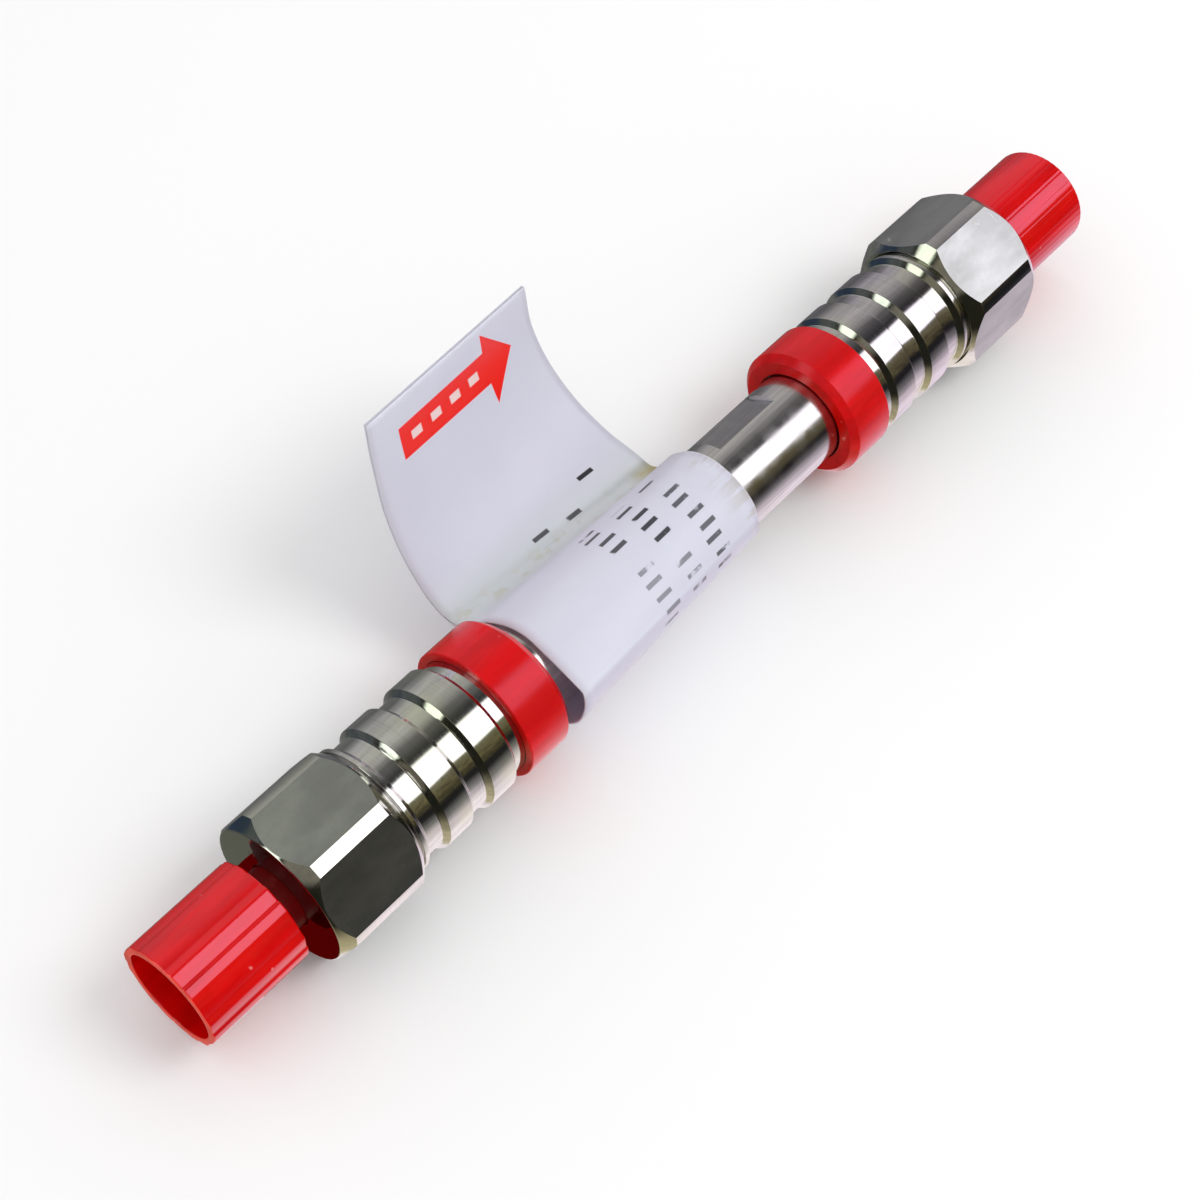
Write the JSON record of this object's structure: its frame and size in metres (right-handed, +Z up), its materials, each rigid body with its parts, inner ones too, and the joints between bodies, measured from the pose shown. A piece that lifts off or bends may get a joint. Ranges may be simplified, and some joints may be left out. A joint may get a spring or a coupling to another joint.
{
  "type": "hplc column",
  "caption": "Short steel liquid-chromatography column: bored tube, grooved hex end fittings with red collars, screw-in transport plugs and a looped flag label.",
  "frame": {"origin": "on the column's axis, half way between the outer faces of the two end fittings", "axes": "+X along the axis from inlet to outlet, +Z up as it lies on the inlet hexagon's bottom flat"},
  "size_m": [0.0812, 0.0209, 0.0178],
  "materials": {
    "tube_steel": "drawn and lightly brushed along its length",
    "fitting_steel": "fine turned, bright hexagon flats",
    "frit_steel": "sintered",
    "packing": "packed silica powder",
    "seal_polymer": "natural moulded",
    "ring_plastic": "satin moulded",
    "plug_plastic": "glossy moulded",
    "label_stock": "glossy white"
  },
  "bodies": {
    "column": {"column_tube": "tube_steel", "packed_bed": "packing", "inlet_frit": "frit_steel", "outlet_frit": "frit_steel", "inlet_seal_ring": "seal_polymer", "outlet_seal_ring": "seal_polymer", "inlet_end_fitting": "fitting_steel", "outlet_end_fitting": "fitting_steel", "inlet_colour_ring": "ring_plastic", "outlet_colour_ring": "ring_plastic", "label": "label_stock"},
    "inlet_plug": {"inlet_plug": "plug_plastic"},
    "outlet_plug": {"outlet_plug": "plug_plastic"}
  },
  "joints": [
    {"name": "inlet_plug_slide", "type": "slide", "parent": "column", "child": "inlet_plug", "axis": [-1, 0, 0], "range_m": [-0.0011, 0.0045]},
    {"name": "outlet_plug_slide", "type": "slide", "parent": "column", "child": "outlet_plug", "axis": [1, 0, 0], "range_m": [-0.0002, 0.0054]}
  ]
}
